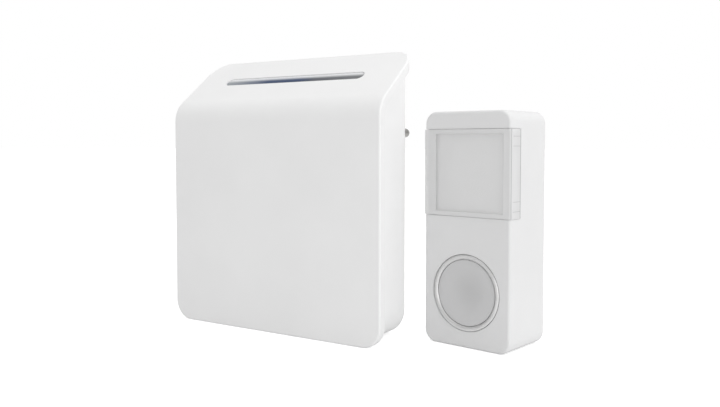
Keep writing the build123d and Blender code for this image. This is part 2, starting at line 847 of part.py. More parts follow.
def push_housing():
    """The bell push's case: closed in front, open behind, stepped for the name cover."""
    mid = push_height / 2
    case = front_shape(push_outline(0), 0, push_depth, 0, mid)
    case = fillet(case.edges().group_by(Axis.Y)[0], push_front_round)
    case = fillet(case.edges().group_by(Axis.Y)[-1], push_back_round)
    step = cover_bottom - push_step_margin
    room = front_shape(push_outline(push_wall), push_wall, push_depth + 1, 0, mid)
    room -= block(-push_half, push_half, 0, push_upper_front_wall, step, push_height)
    case -= room
    for x, z in push_boss_places():
        case += bar_y(push_boss_radius, push_wall - 1, push_board_y, x, z)
        case -= bar_y(small_screw_radius + pin_fit, push_board_y - small_screw_length, push_board_y + 1, x, z)
    case -= bar_y(ring_radius + fit_gap, -1, ring_seat_depth, 0, button_z)
    case -= bar_y(ring_inner_radius + ring_barrel_wall + fit_gap, -1, push_wall + 1, 0, button_z)
    z0 = cover_bottom - cover_gap
    z1 = cover_bottom + cover_height + cover_gap
    case -= block(-push_half - 1, push_half + 1, -1, card_front, z0, z1)
    pocket = Rectangle(card_width + 2 * fit_gap, card_height + 2 * fit_gap)
    floor = card_front + card_thickness
    case -= front_shape(pocket, 0, floor, 0, cover_bottom + cover_height / 2)
    wall = push_half - cover_leg_thickness + cover_proud - cover_gap
    for side in (-1, 1):
        a, b = sorted((side * wall, side * (push_half + cut_past)))
        case -= block(a, b, -1, cover_leg_depth + cover_gap, z0, z1)
        for z in rib_heights():
            a, b = sorted((side * (wall - rib_proud), side * (push_half + cut_past)))
            back = card_front + rib_depth + cover_gap
            case -= block(a, b, -1, back, z - cover_gap, z + rib_width + cover_gap)
    return case


def rib_heights():
    """The lower ends of the two ribs inside each of the cover's legs."""
    return (cover_bottom + rib_margin, cover_bottom + cover_height - rib_margin - rib_width)


def name_cover():
    """The clear cover, wrapped over the front and both sides, with snap ribs inside its legs."""
    out = push_half + cover_proud
    z0 = cover_bottom
    z1 = cover_bottom + cover_height
    cover = block(-out, out, -cover_proud, cover_leg_depth, z0, z1)
    inner = out - cover_leg_thickness
    cover = fillet(long_edges(cover, Axis.Z, 5, lambda c: c.Y < 0), cover_edge_round + 0.4)
    cover -= block(-inner, inner, card_front, cover_leg_depth + 1, z0 - 1, z1 + 1)
    for side in (-1, 1):
        for z in rib_heights():
            a, b = sorted((side * inner, side * (inner - rib_proud)))
            cover += block(a, b, card_front, card_front + rib_depth, z, z + rib_width)
    return cover


def name_card():
    """The paper slip in its pocket behind the cover."""
    slip = Rectangle(card_width, card_height)
    return front_shape(slip, card_front, card_front + card_thickness, 0, cover_bottom + cover_height / 2)


def button_ring():
    """The bright ring round the button: a sloping face on a barrel."""
    r = ring_radius
    barrel = ring_inner_radius + ring_barrel_wall
    inner = ring_inner_radius
    half = [(inner, 0.4), (inner + 0.5, -ring_proud), (r - 0.6, -ring_proud), (r, 0), (r, ring_seat_depth),
            (barrel, ring_seat_depth), (barrel, ring_barrel_depth), (inner, ring_barrel_depth)]
    return turned(half, 0, button_z)


def push_button():
    """The dished button with its flange behind the ring and its stem to the switch."""
    r = ring_inner_radius - button_gap
    rim = button_recess
    back = rim + button_thickness + button_dish
    flange_r = ring_inner_radius + ring_barrel_wall
    flange0 = ring_barrel_depth + button_flange_gap
    flange1 = flange0 + button_flange_thickness
    dish = ThreePointArc((0, rim + button_dish), (r * 0.45, rim + button_dish * 0.72), (r - 1.2, rim))
    rest = Polyline((r - 1.2, rim), (r - 0.3, rim), (r, rim + 0.3), (r, flange0), (flange_r, flange0),
                    (flange_r, flange1), (r - 1.5, flange1), (r - 1.5, back), (button_stem_radius, back),
                    (button_stem_radius, stem_end), (0, stem_end), (0, rim + button_dish))
    return Pos(0, 0, button_z) * revolve(make_face([dish, rest]), Axis.Y)


def push_switch():
    """The switch behind the button, with a round hole for its plunger."""
    half = switch_side / 2
    case = block(-half, half, switch_front, push_board_y, button_z - half, button_z + half)
    hole = switch_plunger_radius + switch_fit
    return case - bar_y(hole, switch_front - 1, switch_front + 1.2 + switch_travel + switch_fit, 0, button_z)


def push_switch_plunger():
    """The round plunger of the bell switch."""
    return bar_y(switch_plunger_radius, switch_front - switch_plunger_proud, switch_front + 1.2, 0, button_z)


def push_board():
    """The bell push's board, on three posts of the case."""
    height = push_board_top - push_board_bottom
    sheet = RectangleRounded(push_board_width, height, 2.0)
    board = front_shape(sheet, push_board_y, push_board_back, 0, push_board_bottom + height / 2)
    for x, z in push_boss_places():
        board -= bar_y(small_screw_radius + fit_gap, push_board_y - 1, push_board_back + 1, x, z)
    return board


def push_board_screws():
    """The three screws of the bell push's board."""
    return [small_screw(x, z, push_board_back) for x, z in push_boss_places()]


def transmitter_chip():
    """The coding chip on the back of the board."""
    half = push_chip_width / 2
    return block(-half, half, push_board_back, push_board_back + 1.4, push_chip_z - half, push_chip_z + half)


def button_lamp():
    """The small lamp that lights the button from behind."""
    half = push_lamp_size / 2
    z = button_z
    front = push_board_y - push_lamp_height
    return block(push_lamp_x - half, push_lamp_x + half, front, push_board_y, z - half, z + half)


def coin_cell():
    """The coin cell, its smaller pole towards the board."""
    r = cell_radius
    half = [(0, cell_front), (r - 1.4, cell_front), (r - 1.4, cell_front + 0.3), (r, cell_front + 0.8),
            (r, cell_back - 0.2), (r - 0.2, cell_back), (0, cell_back)]
    return turned(half, 0, cell_z)


def battery_contact():
    """The flat contact under the cell."""
    return bar_y(cell_radius - contact_margin, push_board_back, cell_front, 0, cell_z)


def battery_holder():
    """The open ring that keeps the cell in place."""
    outer = cell_radius + fit_gap + holder_wall
    ring = Circle(outer) - Circle(cell_radius + fit_gap)
    holder = front_shape(ring, push_board_back, push_board_back + holder_height, 0, cell_z)
    half = strap_width / 2 + holder_slot_gap
    return holder - block(-half, half, 0, push_depth, cell_z, cell_z + 2 * cell_radius)


def battery_strap():
    """The sprung strap over the cell, bent down to the board above it."""
    half = strap_width / 2
    top = cell_z + cell_radius + fit_gap + holder_wall
    back = cell_back + strap_thickness
    strap = block(-half, half, cell_back, back, cell_z - strap_reach, top)
    return strap + block(-half, half, push_board_back, back, top - strap_thickness, top)


def push_wall_plate():
    """The plate on the wall, with two screw holes and a hook at each end for the case."""
    inset = push_wall + wall_plate_gap
    plate = front_shape(push_outline(inset), wall_plate_front, push_depth, 0, push_height / 2)
    for z in (wall_hole_low_z, wall_hole_high_z):
        plate -= bar_y(wall_hole_radius, wall_plate_front - 1, push_depth + 1, 0, z)
    half = hook_width / 2
    edge = push_wall + hook_gap
    for z0 in (edge, push_height - edge - hook_thickness):
        plate += block(-half, half, wall_plate_front - hook_length, wall_plate_front, z0, z0 + hook_thickness)
    return plate


def chime_pieces():
    """Every piece of the chime, by name."""
    return {
        "chime_front_plate": chime_front_plate(),
        "chime_body": chime_body(),
        "light_guide": light_guide(),
        "lamp_board": lamp_board(),
        "flash_lamps": flash_lamps(),
        "chime_rear_cover": chime_rear_cover(),
        "rear_cover_screws": rear_cover_screws(),
        "plug_base": plug_base(),
        "plug_pin_left": plug_pin(-pin_pitch / 2),
        "plug_pin_right": plug_pin(pin_pitch / 2),
        "plug_pin_sleeves": plug_pin_sleeves(),
        "mains_leads": mains_leads(),
        "mains_board": mains_board(),
        "mains_board_screws": mains_board_screws(),
        "transformer_core": transformer_core(),
        "transformer_winding": transformer_winding(),
        "smoothing_capacitor": smoothing_capacitor(),
        "mains_fuse": mains_fuse(),
        "main_board": main_board(),
        "main_board_screws": main_board_screws(),
        "supply_header": supply_header(),
        "sound_chip": sound_chip(),
        "radio_module": radio_module(),
        "receiver_aerial": receiver_aerial(),
        "speaker_frame": speaker_frame(),
        "speaker_magnet": speaker_magnet(),
        "speaker_cone": speaker_cone(),
        "melody_button": side_button(melody_button_z),
        "melody_switch": side_switch(melody_button_z),
        "melody_switch_plunger": side_plunger(melody_button_z),
        "volume_button": side_button(volume_button_z),
        "volume_switch": side_switch(volume_button_z),
        "volume_switch_plunger": side_plunger(volume_button_z),
    }


def push_pieces():
    """Every piece of the bell push, by name."""
    return {
        "push_housing": push_housing(),
        "name_cover": name_cover(),
        "name_card": name_card(),
        "button_ring": button_ring(),
        "push_button": push_button(),
        "push_switch": push_switch(),
        "push_switch_plunger": push_switch_plunger(),
        "push_board": push_board(),
        "push_board_screws": push_board_screws(),
        "transmitter_chip": transmitter_chip(),
        "button_lamp": button_lamp(),
        "coin_cell": coin_cell(),
        "battery_contact": battery_contact(),
        "battery_holder": battery_holder(),
        "battery_strap": battery_strap(),
        "push_wall_plate": push_wall_plate(),
    }


def placed(pieces, place):
    """The pieces moved to their place, each as a list of separate solids."""
    moved = {}
    for name, piece in pieces.items():
        group = piece if isinstance(piece, list) else [piece]
        moved[name] = [solid for one in group for solid in (place * one).solids()]
    return moved


def write_parts(pieces):
    """One file for each piece, with the origin under the middle of the whole set."""
    everything = Compound([solid for group in pieces.values() for solid in group])
    box = everything.bounding_box()
    centre = Pos(-(box.min.X + box.max.X) / 2, -(box.min.Y + box.max.Y) / 2, -box.min.Z)
    os.makedirs("parts", exist_ok=True)
    for name, group in pieces.items():
        export_step(centre * (group[0] if len(group) == 1 else Compound(group)), f"parts/{name}.step")
    return centre


push_corner = Pos(plate_width / 2 + push_gap_x, push_gap_y, 0)
push_place = push_corner * Rot(0, 0, push_turn) * Pos(-push_width / 2, 0, 0)
all_pieces = placed(chime_pieces(), Pos(0, 0, 0)) | placed(push_pieces(), push_place)
origin_shift = write_parts(all_pieces)
print("pieces", len(all_pieces), "slant degrees", round(degrees(slant_angle), 2))
print("chime place", origin_shift.position, "push place", (origin_shift * push_place).position)
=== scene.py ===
import bmesh
import bpy
import json
from math import atan2, cos, pi, radians, sin, tan
from mathutils import Matrix, Vector


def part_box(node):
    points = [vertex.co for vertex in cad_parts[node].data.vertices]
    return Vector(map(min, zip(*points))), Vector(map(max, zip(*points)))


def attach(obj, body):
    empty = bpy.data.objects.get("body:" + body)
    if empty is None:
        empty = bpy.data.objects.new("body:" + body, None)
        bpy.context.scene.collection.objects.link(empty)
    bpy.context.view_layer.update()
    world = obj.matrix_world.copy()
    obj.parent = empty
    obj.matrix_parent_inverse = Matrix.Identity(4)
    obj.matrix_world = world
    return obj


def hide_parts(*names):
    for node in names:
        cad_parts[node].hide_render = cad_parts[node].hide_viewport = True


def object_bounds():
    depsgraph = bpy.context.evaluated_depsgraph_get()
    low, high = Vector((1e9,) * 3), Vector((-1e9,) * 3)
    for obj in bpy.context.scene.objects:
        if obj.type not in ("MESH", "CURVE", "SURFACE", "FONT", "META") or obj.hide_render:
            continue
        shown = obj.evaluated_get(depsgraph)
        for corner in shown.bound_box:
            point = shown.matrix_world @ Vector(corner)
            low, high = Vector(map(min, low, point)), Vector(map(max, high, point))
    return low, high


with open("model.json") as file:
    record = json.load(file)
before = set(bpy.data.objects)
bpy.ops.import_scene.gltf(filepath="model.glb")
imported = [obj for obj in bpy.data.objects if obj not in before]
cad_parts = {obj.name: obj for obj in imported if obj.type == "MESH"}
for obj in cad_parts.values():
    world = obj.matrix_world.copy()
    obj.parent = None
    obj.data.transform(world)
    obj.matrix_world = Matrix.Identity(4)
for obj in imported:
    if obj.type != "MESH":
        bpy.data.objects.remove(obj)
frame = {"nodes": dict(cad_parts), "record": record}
cad_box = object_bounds()

MM = 0.001
nodes = frame["nodes"]
plate_low, plate_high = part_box("chime_front_plate")

# Where each unit's own axes lie: x = 0 at its middle, y = 0 at its front face, z = 0 under it
PUSH_PLACE = (47.0543, -22.9966, 0.0)
PUSH_TURN = -8.2
CHIME = Matrix.Translation(Vector(((plate_low.x + plate_high.x) / 2, plate_low.y, plate_low.z)))
PUSH = Matrix.Translation(Vector(PUSH_PLACE) * MM) @ Matrix.Rotation(radians(PUSH_TURN), 4, "Z")

# Sizes of the bell push's own pieces, in millimetres: ring and button, cover, card
BUTTON_Z = 18.25
RING_R = 12.6
RING_BORE = 11.0
RING_BARREL_R = 11.8
RING_SEAT = 1.4
RING_BACK = 3.0
BUTTON_R = 10.9
BUTTON_RIM = 0.2
BUTTON_DISH = 0.7
BUTTON_DISH_R = 10.0
# radius over which the painted shade in the button's dish fades out
BUTTON_SHADE_R = 9.5
FLANGE_Y = (3.2, 4.0)
FLANGE_INNER_R = 9.2
BUTTON_BACK = 2.8
STEM_R = 2.4
STEM_END = 5.67
COVER_Z = (43.3, 71.9)
COVER_HALF = 16.8
COVER_WALL = 1.0
COVER_CORNER = 0.95
COVER_FRONT = -0.3
COVER_INSIDE = 0.86
COVER_LEG = 5.7
COVER_GAP = 0.02
WINDOW_X = (-12.1, 13.95)
WINDOW_MARGIN = 1.4
WINDOW_STEP = 0.07
WINDOW_BEVEL = 0.12
RIB_MARGIN = 2.4
RIB_HEIGHT = 3.1
RIB_DEPTH = 3.6
RIB_PROUD = 0.4
# half width of the painted shade strips along the ribs' edges
RIB_SHADE_LINE = 0.07
CARD_HALF = 13.2
CARD_Z = (44.7, 70.5)
CARD_Y = (0.93, 1.28)

# Sizes of the chime's own pieces, in millimetres: plug pins, slot, rear screws
PLUG_Z = 71.69155
PLUG_END = 64.0
PLUG_WALL = 3.0
PIN_X = 9.3
PIN_R = 2.0
PIN_CORE_R = 1.3
PIN_HEAD_R = 3.2
PIN_HEAD_DEPTH = 1.2
PIN_TAIL_R = 0.85
PIN_TAIL_LENGTH = 6.0
PIN_TIP = 83.0
SLEEVE_LENGTH = 10.0
BEND_Z = 80.1
SLANT_RISE = 19.7
SLANT_DEPTH = 25.0
SLANT = atan2(SLANT_RISE, SLANT_DEPTH)
SLOT_BACK = 13.5
SLOT_UP = SLOT_BACK / cos(SLANT)
SLOT_MIDDLE = Vector((0.0, SLOT_UP * cos(SLANT), BEND_Z + SLOT_UP * sin(SLANT)))
SLOT_HALF = (31.3, 2.2)
GUIDE_FLANGE = 2.25
GUIDE_FOOT_X = (-24.0, 24.0)
GUIDE_FOOT_HALF = (2, 3)
GUIDE_FOOT_DOWN = (6.7, 8.1)
COVER_SCREWS = [(-32.8, 9.5), (32.8, 9.5), (-36.2, 81.5), (36.2, 81.5)]
SCREW_R = 1.4
SCREW_HEAD_R = 2.7
SCREW_TOP = 24.0
CROSS_DEPTH = 0.9

# Light: the world's strength, each lamp's direction and distance, size and power, and the floor's lift
WORLD_LEVEL = 0.68
LIGHTS = [
    ("light_top", (0.1, 0.1, 0.9), 0.8, 3.1),
    ("light_right", (0.85, -0.42, 0.12), 0.5, 3.35),
]
FLOOR_LIFT = 0.6


# Materials

class Nodes:
    """A material's node tree with short calls to add nodes and links."""

    def __init__(self, name):
        self.material = bpy.data.materials.new(name)
        self.material.use_nodes = True
        self.tree = self.material.node_tree
        self.shader = self.tree.nodes["Principled BSDF"]
        self.coords = self.add("ShaderNodeTexCoord").outputs["Object"]

    def add(self, kind, **values):
        node = self.tree.nodes.new(kind)
        for key, value in values.items():
            if key in node.inputs:
                node.inputs[key].default_value = value
            else:
                setattr(node, key, value)
        return node

    def link(self, source, target):
        self.tree.links.new(source, target)

    def noise(self, scale, detail=2.0, stretch=None):
        node = self.add("ShaderNodeTexNoise", Scale=scale, Detail=detail)
        source = self.coords
        if stretch:
            mapping = self.add("ShaderNodeMapping", Scale=stretch)
            self.link(source, mapping.inputs["Vector"])
            source = mapping.outputs["Vector"]
        self.link(source, node.inputs["Vector"])
        return node.outputs["Fac"]

    def spread(self, factor, low, high, start=0.3, end=0.7, kind="LINEAR"):
        """A stretch of the factor turned into a value from low to high."""
        node = self.add("ShaderNodeMapRange", interpolation_type=kind)
        node.inputs["From Min"].default_value = start
        node.inputs["From Max"].default_value = end
        node.inputs["To Min"].default_value = low
        node.inputs["To Max"].default_value = high
        self.link(factor, node.inputs["Value"])
        return node.outputs["Result"]

    def blend(self, factor, first, second):
        """A colour between two, by a factor."""
        node = self.add("ShaderNodeMix", data_type="RGBA")
        node.inputs[6].default_value = (*first, 1)
        node.inputs[7].default_value = (*second, 1)
        self.link(factor, node.inputs[0])
        return node.outputs[2]

    def bump(self, height, distance, strength=1.0):
        node = self.add("ShaderNodeBump", Distance=distance, Strength=strength)
        self.link(height, node.inputs["Height"])
        self.link(node.outputs["Normal"], self.shader.inputs["Normal"])

    def set(self, **values):
        for key, value in values.items():
            self.shader.inputs[key.replace("_", " ")].default_value = value
        return self


def plastic(name, colour, rough, grain=2600.0, grain_depth=0.006, mottle=0.012, gloss=0.5):
    """The nodes of moulded plastic: faint clouding, a fine spark-eroded grain and uneven gloss."""
    m = Nodes(name)
    cloud = m.noise(45.0, 3.0)
    darker = tuple(c * (1 - mottle) for c in colour)
    lighter = tuple(min(1.0, c * (1 + mottle)) for c in colour)
    m.link(m.blend(m.spread(cloud, 0, 1), darker, lighter), m.shader.inputs["Base Color"])
    m.link(m.spread(m.noise(160.0, 4.0), rough - 0.04, rough + 0.05), m.shader.inputs["Roughness"])
    m.bump(m.noise(grain, 2.0), grain_depth * MM)
    return m.set(IOR=1.5, Specular_IOR_Level=gloss)


def moulded(name, colour, rough, **values):
    """Opaque moulded plastic."""
    return plastic(name, colour, rough, **values).material


def satin(name, colour, rough, alpha):
    """Moulded plastic that lets a little through."""
    return plastic(name, colour, rough, gloss=0.25).set(Alpha=alpha).material


def dish_shaded_plastic(name, middle, edge, rough):
    """The button's plastic with painted shade: a little darker towards its middle, where the dish's hollow
    would lie in shade.
    """
    m = plastic(name, edge, rough)
    clouded = m.shader.inputs["Base Color"].links[0].from_socket
    away = m.add("ShaderNodeVectorMath", operation="DISTANCE")
    m.link(m.coords, away.inputs[0])
    away.inputs[1].default_value = PUSH @ (Vector((0, 0, BUTTON_Z)) * MM)
    fall = m.spread(away.outputs["Value"], 0.0, 1.0, 0.0, BUTTON_SHADE_R * MM, "SMOOTHSTEP")
    tone = m.blend(fall, middle, edge)
    m.link(clouded, tone.node.inputs[7])
    m.link(tone, m.shader.inputs["Base Color"])
    return m.material


def metal(name, colour, rough, brushed=None, grain_depth=0.002):
    """Metal with fine drawn or turned marks and uneven polish."""
    m = Nodes(name)
    m.set(Metallic=1.0)
    cloud = m.noise(120.0, 3.0)
    darker = tuple(c * 0.94 for c in colour)
    m.link(m.blend(m.spread(cloud, 0, 1), darker, colour), m.shader.inputs["Base Color"])
    marks = m.noise(900.0, 3.0, stretch=brushed or (1, 1, 1))
    m.link(m.spread(marks, rough * 0.8, rough * 1.25), m.shader.inputs["Roughness"])
    m.bump(marks, grain_depth * MM)
    return m.material


def clear_sheet(name):
    """Clear moulded plastic: nearly see-through face on, with more gloss and body at a glancing view."""
    m = Nodes(name)
    m.link(m.blend(m.noise(60.0), (0.92, 0.92, 0.92), (0.95, 0.95, 0.95)), m.shader.inputs["Base Color"])
    m.link(m.spread(m.noise(220.0, 3.0), 0.1, 0.16), m.shader.inputs["Roughness"])
    edge = m.add("ShaderNodeLayerWeight", Blend=0.2)
    m.link(m.spread(edge.outputs["Fresnel"], 0.2, 0.6, 0.0, 1.0), m.shader.inputs["Alpha"])
    return m.set(IOR=1.49).material


def light_bar(name):
    """The slot's tinted bar: deep blue in the middle, grey at its ends, with painted light making it paler
    along its upper side, where the slot's lit upper wall fades into shade.
    """
    m = Nodes(name)
    place = m.add("ShaderNodeSeparateXYZ")
    m.link(m.coords, place.inputs[0])
    across = m.add("ShaderNodeVectorMath", operation="DOT_PRODUCT")
    m.link(m.coords, across.inputs[0])
    up = Vector((0, cos(SLANT), sin(SLANT)))
    across.inputs[1].default_value = up
    middle_across = (CHIME @ (SLOT_MIDDLE * MM)).dot(up)
    middle = (plate_low.x + plate_high.x) / 2
    reach = 33 * MM
    along = m.spread(place.outputs["X"], 0.0, 1.0, middle - reach, middle + reach)
    ramp = m.add("ShaderNodeValToRGB")
    stops = [(0.0, (0.38, 0.4, 0.41)), (0.2, (0.2, 0.225, 0.27)), (0.34, (0.06, 0.085, 0.15)),
             (0.56, (0.055, 0.078, 0.14)), (0.66, (0.12, 0.127, 0.142)), (1.0, (0.19, 0.196, 0.2))]
    while len(ramp.color_ramp.elements) < len(stops):
        ramp.color_ramp.elements.new(0.5)
    for element, (place_along, colour) in zip(ramp.color_ramp.elements, stops):
        element.position = place_along
        element.color = (*colour, 1)
    m.link(along, ramp.inputs["Fac"])
    # painted light: near white along the bar's upper side, standing in for the slot's lit upper wall
    painted_lit_wall = m.add("ShaderNodeMix", data_type="RGBA")
    rise_from = middle_across - 0.4 * MM
    rise_to = middle_across + 2.3 * MM
    painted_light_rise = m.spread(across.outputs["Value"], 0.0, 1.0, rise_from, rise_to, "SMOOTHSTEP")
    m.link(painted_light_rise, painted_lit_wall.inputs[0])
    m.link(ramp.outputs["Color"], painted_lit_wall.inputs[6])
    painted_lit_wall.inputs[7].default_value = (0.9, 0.91, 0.92, 1)
    m.link(painted_lit_wall.outputs[2], m.shader.inputs["Base Color"])
    m.link(m.spread(m.noise(400.0, 2.0), 0.5, 0.62), m.shader.inputs["Roughness"])
    m.bump(m.noise(900.0, 2.0), 0.01 * MM)
    return m.set(Specular_IOR_Level=0.1).material


def board(name):
    """Green solder mask over copper, with the tracks just showing."""
    m = Nodes(name)
    tracks = m.add("ShaderNodeTexBrick", Scale=90.0)
    tracks.inputs["Mortar Size"].default_value = 0.012
    tracks.inputs["Color1"].default_value = (0.018, 0.16, 0.06, 1)
    tracks.inputs["Color2"].default_value = (0.022, 0.19, 0.075, 1)
    tracks.inputs["Mortar"].default_value = (0.03, 0.27, 0.11, 1)
    turn = m.add("ShaderNodeMapping")
    turn.inputs["Rotation"].default_value = (pi / 2, 0, 0)
    m.link(m.coords, turn.inputs["Vector"])
    m.link(turn.outputs["Vector"], tracks.inputs["Vector"])
    m.link(tracks.outputs["Color"], m.shader.inputs["Base Color"])
    m.link(m.spread(m.noise(300.0), 0.25, 0.4), m.shader.inputs["Roughness"])
    m.bump(tracks.outputs["Fac"], 0.03 * MM, 0.5)
    return m.material


MATERIALS = {
    "plate_plastic": moulded("plate_plastic", (0.855, 0.855, 0.855), 0.55, gloss=0.12),
    "body_plastic": moulded("body_plastic", (0.88, 0.88, 0.88), 0.55, gloss=0.12),
    "plug_plastic": moulded("plug_plastic", (0.8, 0.8, 0.8), 0.5),
    # painted light: the bar is paler along its upper side, where the slot's lit wall would show
    "guide_clear": light_bar("guide_clear"),
    "push_plastic": moulded("push_plastic", (0.75, 0.75, 0.752), 0.5, gloss=0.2),
    "cover_clear": clear_sheet("cover_clear"),
    "cover_satin": satin("cover_satin", (0.835, 0.835, 0.837), 0.42, 0.72),
    # painted shade: dark strips for the shaded lines at the cover's edges and ribs
    "cover_painted_shade_line": satin("cover_painted_shade_line", (0.44, 0.44, 0.443), 0.5, 0.92),
    "card_paper": moulded("card_paper", (0.92, 0.92, 0.922), 0.75, grain=1400.0, grain_depth=0.02),
    "ring_metal": metal("ring_metal", (0.53, 0.53, 0.528), 0.4),
    # painted shade: the button's plastic darkens towards the middle of its dish
    "button_plastic": dish_shaded_plastic("button_plastic", (0.53, 0.53, 0.533), (0.585, 0.585, 0.588), 0.4),
    "pin_metal": metal("pin_metal", (0.24, 0.236, 0.228), 0.22),
    "sleeve_black": moulded("sleeve_black", (0.03, 0.03, 0.03), 0.45),
    "screw_steel": metal("screw_steel", (0.62, 0.62, 0.6), 0.3),
    "board_green": board("board_green"),
    "chip_black": moulded("chip_black", (0.025, 0.025, 0.027), 0.5),
    "radio_can": metal("radio_can", (0.66, 0.66, 0.63), 0.3),
    "aerial_copper": metal("aerial_copper", (0.7, 0.36, 0.18), 0.3, brushed=(8, 1, 1)),
    "switch_black": moulded("switch_black", (0.03, 0.03, 0.03), 0.45),
    "plunger_plastic": moulded("plunger_plastic", (0.72, 0.68, 0.6), 0.5),
    "lamp_plastic": moulded("lamp_plastic", (0.85, 0.8, 0.55), 0.3),
    "header_metal": metal("header_metal", (0.8, 0.62, 0.28), 0.25),
    "lead_insulation": moulded("lead_insulation", (0.35, 0.05, 0.04), 0.5),
    "core_iron": metal("core_iron", (0.2, 0.2, 0.2), 0.5, brushed=(1, 1, 12)),
    "winding_tape": moulded("winding_tape", (0.75, 0.6, 0.12), 0.35),
    "can_aluminium": moulded("can_aluminium", (0.06, 0.08, 0.2), 0.3),
    "fuse_body": moulded("fuse_body", (0.82, 0.78, 0.7), 0.4),
    "speaker_steel": metal("speaker_steel", (0.35, 0.35, 0.35), 0.4),
    "magnet_ferrite": moulded("magnet_ferrite", (0.06, 0.06, 0.06), 0.6, grain=800.0, grain_depth=0.03),
    "cone_paper": moulded("cone_paper", (0.05, 0.05, 0.05), 0.8, grain=1200.0, grain_depth=0.05),
    "cell_steel": metal("cell_steel", (0.78, 0.78, 0.77), 0.25),
    "contact_metal": metal("contact_metal", (0.72, 0.71, 0.68), 0.25),
    "holder_black": moulded("holder_black", (0.03, 0.03, 0.03), 0.45),
}


def dress_nodes():
    """Each CAD node takes the material of its slot."""
    for row in frame["record"]["subparts"]:
        piece = nodes[row["node"]]
        piece.data.materials.clear()
        piece.data.materials.append(MATERIALS[row["material_slot"]])


# Own pieces

def add_piece(name, mesh, place, slot_name, body, *replaced):
    """A piece in a unit's own axes, in millimetres, set in the frame and riding on its body."""
    mesh.transform(place @ Matrix.Scale(MM, 4))
    mesh.update()
    piece = bpy.data.objects.new(name, mesh)
    bpy.context.scene.collection.objects.link(piece)
    mesh.materials.append(MATERIALS[slot_name])
    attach(piece, body)
    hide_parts(*replaced)


def smooth(mesh, angle=32):
    """Smooth shading, kept sharp over edges steeper than an angle."""
    mesh.polygons.foreach_set("use_smooth", [True] * len(mesh.polygons))
    mesh.set_sharp_from_angle(angle=radians(angle))
    mesh.update()
    return mesh


def rounded(points, radii, steps=5):
    """A line of points with its corners drawn as arcs of the given radii."""
    line = []
    for i, point in enumerate(points):
        radius = radii.get(i, 0)
        if not radius:
            line.append(point)
            continue
        here = Vector(point)
        back = (Vector(points[i - 1]) - here).normalized()
        ahead = (Vector(points[(i + 1) % len(points)]) - here).normalized()
        half = back.angle(ahead) / 2
        reach = radius / tan(half)
        middle = here + (back + ahead).normalized() * (radius / sin(half))
        first = here + back * reach - middle
        last = here + ahead * reach - middle
        for k in range(steps + 1):
            t = k / steps
            bow = first.lerp(last, t).normalized() * radius
            line.append(tuple(middle + bow))
    return line


def turned(name, profile, x, z, steps=96):
    """A closed profile of radii and depths turned about an axis that runs back."""
    bm = bmesh.new()
    rings = []
    for radius, depth in profile:
        if radius < 1e-6:
            rings.append([bm.verts.new((x, depth, z))])
            continue
        ring = []
        for k in range(steps):
            angle = 2 * pi * k / steps
            ring.append(bm.verts.new((x + radius * cos(angle), depth, z + radius * sin(angle))))
        rings.append(ring)
    pairs = list(zip(rings, rings[1:] + rings[:1]))
    for one, two in pairs:
        if len(one) == 1 and len(two) == 1:
            continue
        for k in range(steps):
            j = (k + 1) % steps
            if len(one) == 1:
                bm.faces.new((one[0], two[j], two[k]))
            elif len(two) == 1:
                bm.faces.new((one[k], one[j], two[0]))
            else:
                bm.faces.new((one[k], one[j], two[j], two[k]))
    return smooth(finish_mesh(name, bm))


def block_into(bm, corners, material=0):
    """A block with eight given corners, added to a mesh in the making."""
    verts = [bm.verts.new(corner) for corner in corners]
    for quad in ((0, 1, 3, 2), (4, 6, 7, 5), (0, 4, 5, 1), (2, 3, 7, 6), (0, 2, 6, 4), (1, 5, 7, 3)):
        bm.faces.new([verts[i] for i in quad]).material_index = material


def box_into(bm, low, high, material=0):
    """A square block between two corners, added to a mesh in the making."""
    xs, ys, zs = zip(low, high)
    block_into(bm, [(x, y, z) for x in xs for y in ys for z in zs], material)


def finish_mesh(name, bm):
    """The mesh in the making turned into a mesh, with its faces looking out."""
    bmesh.ops.recalc_face_normals(bm, faces=bm.faces)
    mesh = bpy.data.meshes.new(name)
    bm.to_mesh(mesh)
    bm.free()
    return mesh


def make_ring():
    """The satin ring: a soft crest that falls to the case outside and to the button inside."""
    profile = [(RING_BORE, RING_BACK), (RING_BORE, 0.16), (11.5, -0.28), (12.2, -0.4), (RING_R, -0.06),
               (RING_R, RING_SEAT), (RING_BARREL_R, RING_SEAT), (RING_BARREL_R, RING_BACK)]
    profile = rounded(profile, {1: 0.14, 2: 0.6, 3: 0.3, 4: 0.1}, 6)
    add_piece("push_ring_band", turned("push_ring_band", profile, 0, BUTTON_Z, 192), PUSH, "ring_metal",
              "push_unit", "button_ring")


def make_button():
    """The dished button: a soft hollow, a rounded rim, a flange behind the ring and a stem."""
    dish = []
    for k in range(25):
        t = k / 24
        dish.append((BUTTON_DISH_R * t, BUTTON_RIM + BUTTON_DISH * (1 - t * t * (3 - 2 * t))))
    rim = [(BUTTON_DISH_R, BUTTON_RIM), (BUTTON_R, BUTTON_RIM), (BUTTON_R, FLANGE_Y[0])]
    rim = rounded(rim, {1: 0.14}, 8)[1:]
    back = [(RING_BARREL_R, FLANGE_Y[0]), (RING_BARREL_R, FLANGE_Y[1]), (FLANGE_INNER_R, FLANGE_Y[1]),
            (FLANGE_INNER_R, BUTTON_BACK), (STEM_R, BUTTON_BACK), (STEM_R, STEM_END), (0, STEM_END)]
    add_piece("push_button_cap", turned("push_button_cap", dish + rim + back, 0, BUTTON_Z, 160), PUSH,
              "button_plastic", "bell_key", "push_button")


